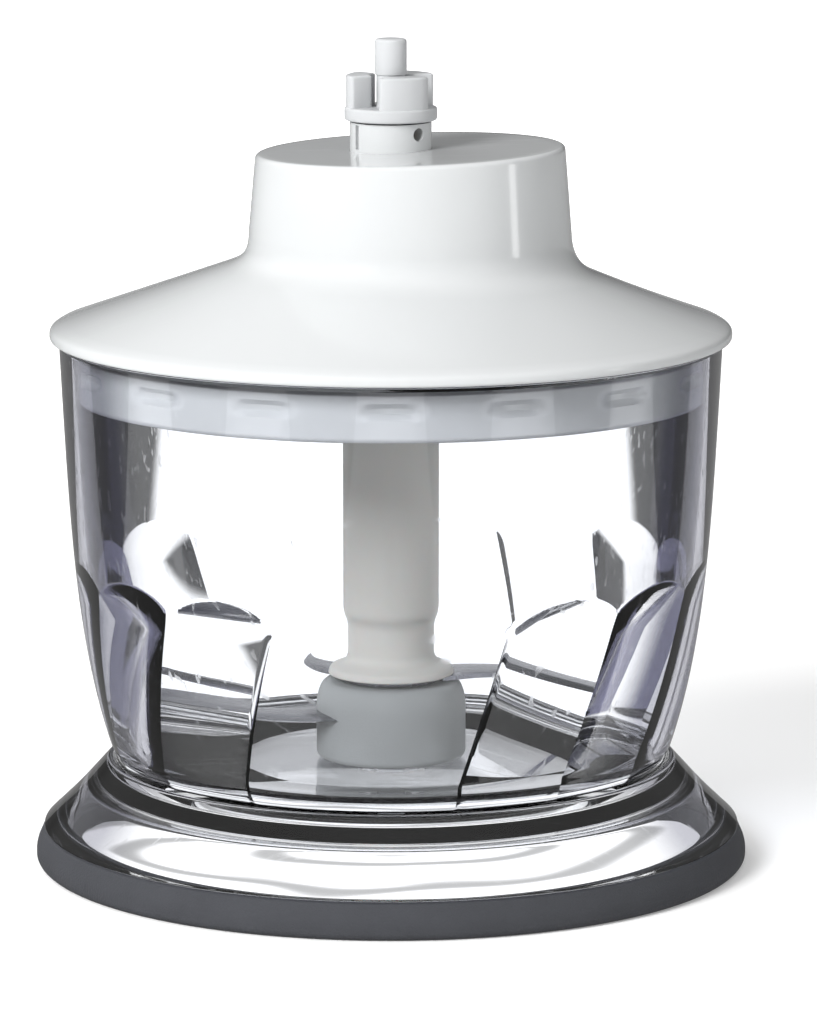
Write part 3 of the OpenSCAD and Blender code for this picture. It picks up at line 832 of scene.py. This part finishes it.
def lid_grid(size):
    """Outer surface, rounded edge, underside and inner surface as one closed sleeve."""
    socket = bpy.context.scene.chopper_coupling.socket_radius
    hole = socket + 0.05
    outer = lid_sheet(size, 0.0, hole)
    r = size.edge_radius
    edge = rounded([(r - EDGE_STEP, size.edge_z + LID_EDGE, 0), (r, size.edge_z + 1.7, 1.0),
                    (r, size.edge_z, 0.7), (r - EDGE_STEP - 5, size.edge_z, 0)], 6)[1:]
    inner = lid_sheet(size, size.wall, hole)[::-1]
    return np.concatenate([outer, turned(edge), inner])


def dimpled(grid, out, level):
    """Presses a row of oval dimples into the outside of the plug.

    A point on the outside moves in by depth * exp(-u^4 - v^4), u and v being its angle and its
    level counted from the nearest dimple in half widths and half heights.
    """
    depth = 1.6
    half_width = 4.2
    half_height = 1.1
    pitch = 2 * pi / 16
    radius = np.hypot(grid[:, :, 0], grid[:, :, 1])
    angle = np.arctan2(grid[:, :, 1], grid[:, :, 0]) + pi / 2
    off = (angle + pitch / 2) % pitch - pitch / 2
    across = off * out / half_width
    up = (grid[:, :, 2] - level) / half_height
    press = depth * np.exp(-across ** 4 - up ** 4)
    press = np.where(radius > out - 0.5, press, 0.0)
    scale = (radius - press) / np.maximum(radius, 1e-6)
    return np.stack([grid[:, :, 0] * scale, grid[:, :, 1] * scale, grid[:, :, 2]], axis=2)


class MakeLid(bpy.types.Operator):
    """Makes the lid's shell and its lower cover"""
    bl_idname = "chopper.make_lid"
    bl_label = "Lid"

    def execute(self, context):
        size = context.scene.chopper_lid
        stand_in("lid_moulded", "lid_shell", [lid_grid(size)], ring=True, sharp=40)
        plug = size.plug_radius
        plug_in = plug - 1.8
        groove = plug - 1.5
        low = size.edge_z - FREE - size.plug_depth
        plate = size.edge_z - 2
        top = size.edge_z
        bore = 6.0
        boss = 9.5
        boss_z = plate - 6.5
        bush = 7.0 + SEAT
        bush_z = boss_z + 0.8
        cup_in = 21.55
        cup_out = 23.6
        cup_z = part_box("gearbox_cover")[0][2] / MM + 1.2
        dimple_z = top - 4.8
        cover = rounded([(bore, boss_z, 0.2), (boss, boss_z, 0.5), (boss, plate, 0.6),
                         (plug_in, plate, 1.0), (plug_in, low, 0.4), (plug - 0.4, low, 0.3),
                         (plug, low + 0.7, 0.3), (plug, plate, 0.3), (groove, plate + 0.5, 0.2),
                         (groove, top, 0.1), (cup_out, top, 0.4), (cup_out, cup_z, 0.3),
                         (cup_in, cup_z, 0.3), (cup_in, top, 0.1), (bush, top, 0.1),
                         (bush, bush_z, 0.1), (bore, bush_z, 0.1)], 5, ring=True)
        grid = dimpled(turned(dense(cover, 0.5)), plug, dimple_z)
        stand_in("lid_plug", "lid_base", [grid], ring=True)
        return {"FINISHED"}


# ---- the coupling

def jaw_grid(r0, r1, half, middle, z0, z1):
    """One jaw of the dog: a sector block with soft edges.

    Going up, the outline is the same, drawn in by a quarter circle near the top. The outline is a
    superellipse of power 8 in (radius, angle), so its corners are rounded.
    """
    soft = 0.5
    s = round_angles(64)[None, :]
    power = 2 / 8
    a = np.sign(np.cos(s)) * np.abs(np.cos(s)) ** power
    b = np.sign(np.sin(s)) * np.abs(np.sin(s)) ** power
    bend = np.linspace(0.2, pi / 2, 7)
    draw = np.concatenate([[1.0, 0.0, 0.0], soft * (1 - np.cos(bend)), [1.0]])[:, None]
    rise = np.concatenate([[z0, z0, z1 - soft], z1 - soft + soft * np.sin(bend), [z1]])
    mean = (r0 + r1) / 2
    closed = np.isclose(draw, 1.0)
    radius = mean + a * np.where(closed, 0.0, (r1 - r0) / 2 - draw)
    turn = middle + b * np.where(closed, 0.0, half - draw / mean)
    z = np.broadcast_to(rise[:, None], radius.shape)
    return np.stack([radius * np.cos(turn), radius * np.sin(turn), z], axis=2)


class MakeCoupling(bpy.types.Operator):
    """Makes the drive dog that stands on the lid, with its jaws and its post"""
    bl_idname = "chopper.make_coupling"
    bl_label = "Coupling"

    def execute(self, context):
        size = context.scene.chopper_coupling
        jaws = 3
        half_jaw = radians(38)
        first_jaw = radians(52)
        dog_z = size.socket_z + FREE
        flange_top = dog_z + size.flange
        jaw_top = flange_top + size.jaw_height
        post = size.post_radius
        post_top = jaw_top + size.tip_height
        post_in = post - 0.3
        flange = rounded([(0, dog_z, 0), (size.dog_radius, dog_z, 0.5),
                          (size.dog_radius, flange_top, 0.5), (post_in, flange_top, 0.4),
                          (post_in, jaw_top, 0.1), (post, jaw_top, 0.1), (post, post_top, 0.7),
                          (0, post_top, 0)], 4)
        stand_in("dog_flange", "drive_dog", [turned(dense(flange, 4.0), 128)])
        grids = [jaw_grid(post + 0.8, size.dog_radius - 0.2, half_jaw,
                          first_jaw + k * 2 * pi / jaws, flange_top - 0.3, jaw_top)
                 for k in range(jaws)]
        stand_in("dog_jaws", "drive_dog", grids, sharp=50)
        return {"FINISHED"}


class FinishFrame(bpy.types.Operator):
    """Gives every node that is still shown its material"""
    bl_idname = "chopper.finish_frame"
    bl_label = "Inner pieces"

    def execute(self, context):
        for name, thing in frame["nodes"].items():
            if thing.type != "MESH":
                continue
            material = material_for(slot_of(name))
            for place in thing.material_slots:
                place.material = material
            if not thing.material_slots:
                raise RuntimeError("node without a material slot: " + name)
        return {"FINISHED"}


# ---- the stage

def floor_material(lane, spread):
    """White floor that keeps the object's shadow.

    Rays that come through the plastic see it white only in straight lanes that cross under the
    object at every eighth of a turn, and dark between them, as with black cards between panels.
    Under the base the lanes have faint wavy rings, like the light that a clear base throws.
    Mirrored, the floor is an even grey.
    """
    lane_light, lane_dark, lane_feather = 1.4, 0.09, 0.006
    rings_end, rings_fade, ring_dark = 0.062, 0.008, 0.42
    glow_from, glow_to = 0.3, 1.4
    material = bpy.data.materials.new("floor_white")
    material.use_nodes = True
    tree = material.node_tree
    tree.nodes.clear()
    place = tree.nodes.new("ShaderNodeTexCoord").outputs["Object"]
    split = node(tree, "ShaderNodeSeparateXYZ", {0: place})
    x = split.outputs[0]
    y = split.outputs[1]
    off = None
    for k in range(4):
        angle = k * pi / 4
        along = math(tree, "MULTIPLY", x, sin(angle))
        distance = math(tree, "ABSOLUTE", math(tree, "MULTIPLY_ADD", y, -cos(angle), along))
        off = distance if off is None else math(tree, "MINIMUM", off, distance)
    reach = node(tree, "ShaderNodeVectorMath", {0: place}, operation="LENGTH").outputs["Value"]
    past = math(tree, "MULTIPLY_ADD", reach, -spread, off)
    lit = ramp(tree, past, lane, lane + lane_feather, lane_light, lane_dark)
    wave = node(tree, "ShaderNodeTexWave", {"Vector": place, "Scale": 14.0, "Distortion": 7.0,
                                            "Detail": 1.0, "Detail Scale": 1.2},
                wave_type="RINGS", rings_direction="Z").outputs["Fac"]
    outside = ramp(tree, reach, rings_end, rings_end + rings_fade, smooth=False)
    rings = ramp(tree, math(tree, "ADD", wave, outside), 0.0, 0.35, ring_dark)
    path = tree.nodes.new("ShaderNodeLightPath")
    white = node(tree, "ShaderNodeBsdfDiffuse", {"Color": (0.82, 0.82, 0.82, 1.0)})
    glow = node(tree, "ShaderNodeEmission", {
        "Strength": ramp(tree, reach, glow_from, glow_to, 0.2, 1.0, smooth=False)})
    shown = node(tree, "ShaderNodeAddShader", {0: white.outputs[0], 1: glow.outputs[0]})
    lanes = node(tree, "ShaderNodeEmission", {"Strength": math(tree, "MULTIPLY", lit, rings)})
    grey = node(tree, "ShaderNodeEmission", {"Strength": 0.3})
    seen = node(tree, "ShaderNodeMixShader", {0: path.outputs["Is Camera Ray"],
                                              1: white.outputs[0], 2: shown.outputs[0]})
    gloss = node(tree, "ShaderNodeMixShader", {0: path.outputs["Is Glossy Ray"],
                                               1: seen.outputs[0], 2: grey.outputs[0]})
    out = node(tree, "ShaderNodeMixShader", {0: path.outputs["Is Transmission Ray"],
                                             1: gloss.outputs[0], 2: lanes.outputs[0]})
    end = tree.nodes.new("ShaderNodeOutputMaterial")
    tree.links.new(out.outputs[0], end.inputs["Surface"])
    return material


def studio_world():
    """White to the camera; a soft sky for the diffuse light; a dim room in the gloss."""
    world = bpy.data.worlds.new("studio")
    world.use_nodes = True
    tree = world.node_tree
    tree.nodes.clear()
    path = tree.nodes.new("ShaderNodeLightPath")
    place = tree.nodes.new("ShaderNodeTexCoord").outputs["Generated"]
    height = node(tree, "ShaderNodeSeparateXYZ", {0: place}).outputs[2]
    sky = ramp(tree, height, 0.05, 0.9, 0.2, 0.6, smooth=False)
    room = ramp(tree, height, 0.1, 0.95, 0.10, 0.8, smooth=False)
    strength = node(tree, "ShaderNodeMix", {"Factor": path.outputs["Is Glossy Ray"],
                                            "A": sky, "B": room})
    through = node(tree, "ShaderNodeMix", {"Factor": path.outputs["Is Transmission Ray"],
                                           "A": strength.outputs[0], "B": 0.85})
    final = node(tree, "ShaderNodeMix", {"Factor": path.outputs["Is Camera Ray"],
                                         "A": through.outputs[0], "B": 1.0})
    back = node(tree, "ShaderNodeBackground", {"Color": (1.0, 1.0, 1.0, 1.0),
                                               "Strength": final.outputs[0]})
    end = tree.nodes.new("ShaderNodeOutputWorld")
    tree.links.new(back.outputs[0], end.inputs["Surface"])
    return world


def lamp(name, place, target, size, watts, mirrored=False):
    """A soft square lamp aimed at a point."""
    data = bpy.data.lights.new(name, "AREA")
    data.shape = "RECTANGLE"
    data.size, data.size_y = size
    data.energy = watts
    thing = bpy.data.objects.new(name, data)
    bpy.context.scene.collection.objects.link(thing)
    thing.location = place
    aim = Vector(target) - Vector(place)
    thing.rotation_euler = aim.to_track_quat("-Z", "Y").to_euler()
    thing.visible_glossy = mirrored
    thing.visible_transmission = False
    return thing


class MakeStage(bpy.types.Operator):
    """Makes the floor, the lamps, the world and the camera"""
    bl_idname = "chopper.make_stage"
    bl_label = "Stage"

    def execute(self, context):
        scene = context.scene
        size = scene.chopper_stage
        half = size.floor / 2
        mesh = bpy.data.meshes.new("floor")
        mesh.from_pydata([(-half, -half, 0), (half, -half, 0), (half, half, 0), (-half, half, 0)],
                         [], [(0, 1, 2, 3)])
        mesh.materials.append(floor_material(size.lane, size.spread))
        floor = bpy.data.objects.new("floor", mesh)
        scene.collection.objects.link(floor)
        scene.world = studio_world()
        middle = (0.0, 0.0, 0.08)
        lamp("key", (-0.85, -1.0, 0.85), middle, (0.6, 0.6), 29.0)
        lamp("fill", (1.1, -0.9, 0.5), middle, (0.5, 0.9), 4.0)
        lamp("window", (1.5, -0.28, 0.02), (0.02, -0.02, 0.12), (0.16, 0.5), 1.2, mirrored=True)
        lamp("back", (-0.6, 1.0, 0.9), middle, (0.9, 0.6), 8.0)
        data = bpy.data.cameras.new("camera")
        data.lens = size.lens
        data.sensor_width = 36.0
        camera = bpy.data.objects.new("camera", data)
        scene.collection.objects.link(camera)
        camera.location = size.camera_at
        aim = Vector(size.looks_at) - Vector(size.camera_at)
        camera.rotation_euler = aim.to_track_quat("-Z", "Y").to_euler()
        scene.camera = camera
        scene.view_settings.view_transform = "Standard"
        return {"FINISHED"}


# ---- add-on

STEPS = (MakeStage, MakeBase, MakeBowl, MakeHub, MakeBlades, MakeLid, MakeCoupling, FinishFrame)


class ChopperPanel(bpy.types.Panel):
    """Lists the steps in the sidebar"""
    bl_idname = "VIEW3D_PT_chopper"
    bl_label = "Chopper attachment"
    bl_space_type = "VIEW_3D"
    bl_region_type = "UI"
    bl_category = "Chopper"

    def draw(self, context):
        for step in STEPS:
            self.layout.operator(step.bl_idname)
        for group in GROUPS:
            sizes = getattr(context.scene, group)
            for name in sizes.bl_rna.properties.keys():
                if name not in ("rna_type", "name"):
                    self.layout.prop(sizes, name)


def register():
    for group in GROUPS.values():
        bpy.utils.register_class(group)
    for name, group in GROUPS.items():
        setattr(bpy.types.Scene, name, PointerProperty(type=group))
    for step in STEPS:
        bpy.utils.register_class(step)
    bpy.utils.register_class(ChopperPanel)


def unregister():
    bpy.utils.unregister_class(ChopperPanel)
    for step in reversed(STEPS):
        bpy.utils.unregister_class(step)
    for name, group in reversed(GROUPS.items()):
        delattr(bpy.types.Scene, name)
        bpy.utils.unregister_class(group)


def main():
    """Runs every step in order."""
    register()
    for step in STEPS:
        group, name = step.bl_idname.split(".")
        getattr(getattr(bpy.ops, group), name)()


if __name__ == "__main__":
    main()
